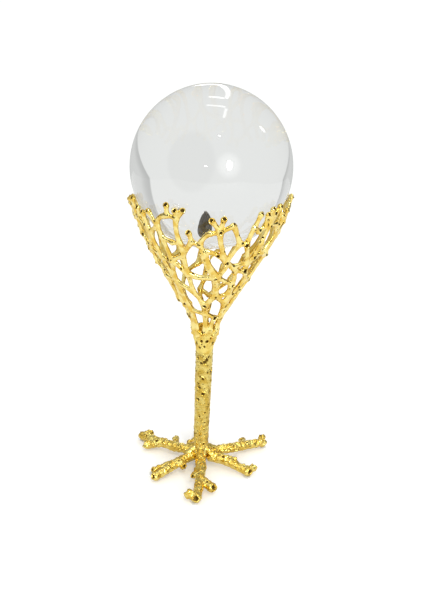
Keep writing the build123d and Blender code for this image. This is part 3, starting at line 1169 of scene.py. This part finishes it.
# %% What is seen through the glass
dip = calc("MULTIPLY", calc("MINIMUM", up, 0.0), 1.6)
left_cloth = calc("ADD", calc("SUBTRACT", right, calc("MULTIPLY", back, 0.60)), dip)
right_cloth = calc("SUBTRACT", calc("MULTIPLY", right, -1.0), calc("MULTIPLY", back, 1.2))
right_cloth = calc("ADD", right_cloth, dip)
cloth = calc("MAXIMUM", left_cloth, calc("MULTIPLY", right_cloth, 1.3))
glass_room = calc("ADD", step(cloth, -0.015, 0.02, 0.82, 0.50), step(cloth, 0.03, 0.30, 0.0, 0.16))
off_x = calc("POWER", calc("DIVIDE", calc("SUBTRACT", right, 0.115), 0.20), 2.0)
off_z = calc("POWER", calc("DIVIDE", calc("ADD", up, 0.17), 0.24), 2.0)
wall_patch = calc("MULTIPLY", step(calc("ADD", off_x, off_z), 1.2, 0.55), step(back, 0.0, 0.1))
glass_room = calc("MULTIPLY", glass_room, step(wall_patch, 0.0, 1.0, 1.0, 0.95))

# %% [markdown]
# A mirror in an even white room looks flat. So the gold sees dark gaps between bright cloths, more
# light overhead, a black flag at each side and a dark line where the table ends. Behind the ball the
# tent is one even cloth, so that the rim of the ball mirrors it calmly.

# %% What the gold mirrors
CALM_LIGHT = 0.46

gaps = nodes.new("ShaderNodeTexNoise")
gaps.inputs["Scale"].default_value = 2.6
gaps.inputs["Detail"].default_value = 2.0
links.new(looking.outputs["Generated"], gaps.inputs["Vector"])
grey_cloth = step(gaps.outputs["Fac"], 0.44, 0.51, 0.12, 0.68)
bright_cloth = step(gaps.outputs["Fac"], 0.53, 0.60, 0.0, 1.35)
gold_room = calc("ADD", grey_cloth, bright_cloth)
overhead = step(up, 0.25, 0.75, 0.0, 0.65)
low = step(calc("ABSOLUTE", up), 0.55, 0.40)
flags = calc("ADD", step(right, 0.78, 0.86), calc("MULTIPLY", step(right, -0.84, -0.90), 0.8))
flags = calc("MULTIPLY", calc("MULTIPLY", flags, low), 0.9)
gold_room = calc("MULTIPLY", calc("ADD", gold_room, overhead), calc("SUBTRACT", 1.0, flags))
table_edge = step(calc("ABSOLUTE", calc("ADD", up, 0.03)), 0.03, 0.07, 0.3, 1.0)
gold_room = calc("MULTIPLY", gold_room, table_edge)
calm = step(back, 0.15, 0.42)
gold_room = calc("MULTIPLY", gold_room, calc("SUBTRACT", 1.0, calm))
gold_room = calc("ADD", gold_room, calc("MULTIPLY", calm, CALM_LIGHT))

# %% [markdown]
# The top of the ball mirrors the bright edges of two ceiling lamps as two hooks. Each hook is a few
# bars, and the farther one is curled a little. The perfectly smooth ball is a singular mirror, a kind
# of ray of its own, so it can have the same lamps in an even room, with a soft glow round one of them.

# %% What the ball mirrors
HOOK_LIGHT, BALL_LIGHT = 5.0, 0.61


def bar(across, x_low, x_high, y_low, y_high, edge=0.02):
    """A bright bar overhead, between two limits to the right and two limits to the back."""
    sides = []
    for value, low_end, high_end in ((across, x_low, x_high), (back, y_low, y_high)):
        past = step(value, low_end - edge, low_end + edge)
        short = step(value, high_end + edge, high_end - edge)
        sides.append(calc("MULTIPLY", past, short))
    return calc("MULTIPLY", *sides)


far = calc("MAXIMUM", calc("SUBTRACT", back, 0.5), 0.0)
curled = calc("ADD", right, calc("MULTIPLY", calc("MULTIPLY", far, far), 0.82))
hooks = calc("ADD", bar(curled, -0.09, 0.12, 0.415, 0.47), bar(curled, 0.12, 0.165, 0.46, 0.93))
hooks = calc("ADD", hooks, bar(curled, 0.0, 0.15, 0.925, 0.945))
near_hook = calc("ADD", bar(right, -0.12, 0.18, 0.13, 0.175), bar(right, 0.185, 0.23, -0.17, 0.12))
hooks = calc("ADD", hooks, near_hook)
hooks = calc("MULTIPLY", hooks, step(up, 0.25, 0.3))
hooks = calc("MULTIPLY", hooks, HOOK_LIGHT)
gold_room = calc("ADD", gold_room, hooks)
sideways = calc("SUBTRACT", calc("MULTIPLY", right, 0.441), calc("MULTIPLY", back, 0.877))
halo = step(calc("ADD", sideways, calc("MULTIPLY", up, 0.189)), 0.94, 1.0, 0.0, 2.6)
ball_room = calc("ADD", calc("ADD", hooks, halo), BALL_LIGHT)

# %% One room for each kind of ray
# what plain matt things see, and what the camera sees
EVEN_LIGHT, WHITE = 0.96, 1.05

background = nodes["Background"]
background.inputs["Color"].default_value = (0.99, 1.0, 0.99, 1)
room = by_ray(nodes, links, "Is Glossy Ray", EVEN_LIGHT, gold_room)
room = by_ray(nodes, links, "Is Singular Ray", room, ball_room)
room = by_ray(nodes, links, "Is Transmission Ray", room, glass_room)
links.new(by_ray(nodes, links, "Is Camera Ray", room, WHITE), background.inputs["Strength"])
print("tent:", len(nodes), "nodes")

# %% [markdown]
# ## Lamps
#
# Four small oval lamps stand around. They make the sharp glints on the gold and on the ball. A
# glass ball would also show each lamp a second time from inside its back, large and upside down, so
# the lamps are hidden from light that has passed through glass.

# %% Lamps
def softbox(name, direction, distance, width, height, power):
    """An oval lamp that looks at the ball's centre from a direction."""
    light = bpy.data.lights.new(name, "AREA")
    light.shape = "ELLIPSE"
    light.size = width
    light.size_y = height
    light.energy = power
    place = ball_centre + Vector(direction).normalized() * distance
    lamp = bpy.data.objects.new(name, light)
    lamp.location = place
    lamp.rotation_euler = (ball_centre - place).to_track_quat("-Z", "Y").to_euler()
    lamp.visible_transmission = False
    scene.collection.objects.link(lamp)


softbox("key_lamp", (0.18, -0.625, 0.76), 1.0, 0.05, 0.06, 1.8)
softbox("right_lamp", (0.441, -0.877, 0.189), 1.1, 0.15, 0.25, 3.0)
softbox("camera_lamp", (-0.083, -0.983, 0.162), 1.2, 0.09, 0.04, 0.4)
softbox("far_lamp", (0.769, 0.195, 0.609), 1.2, 0.10, 0.16, 0.25)
scene.view_settings.view_transform = "Standard"
print("lamps:", len(bpy.data.lights))
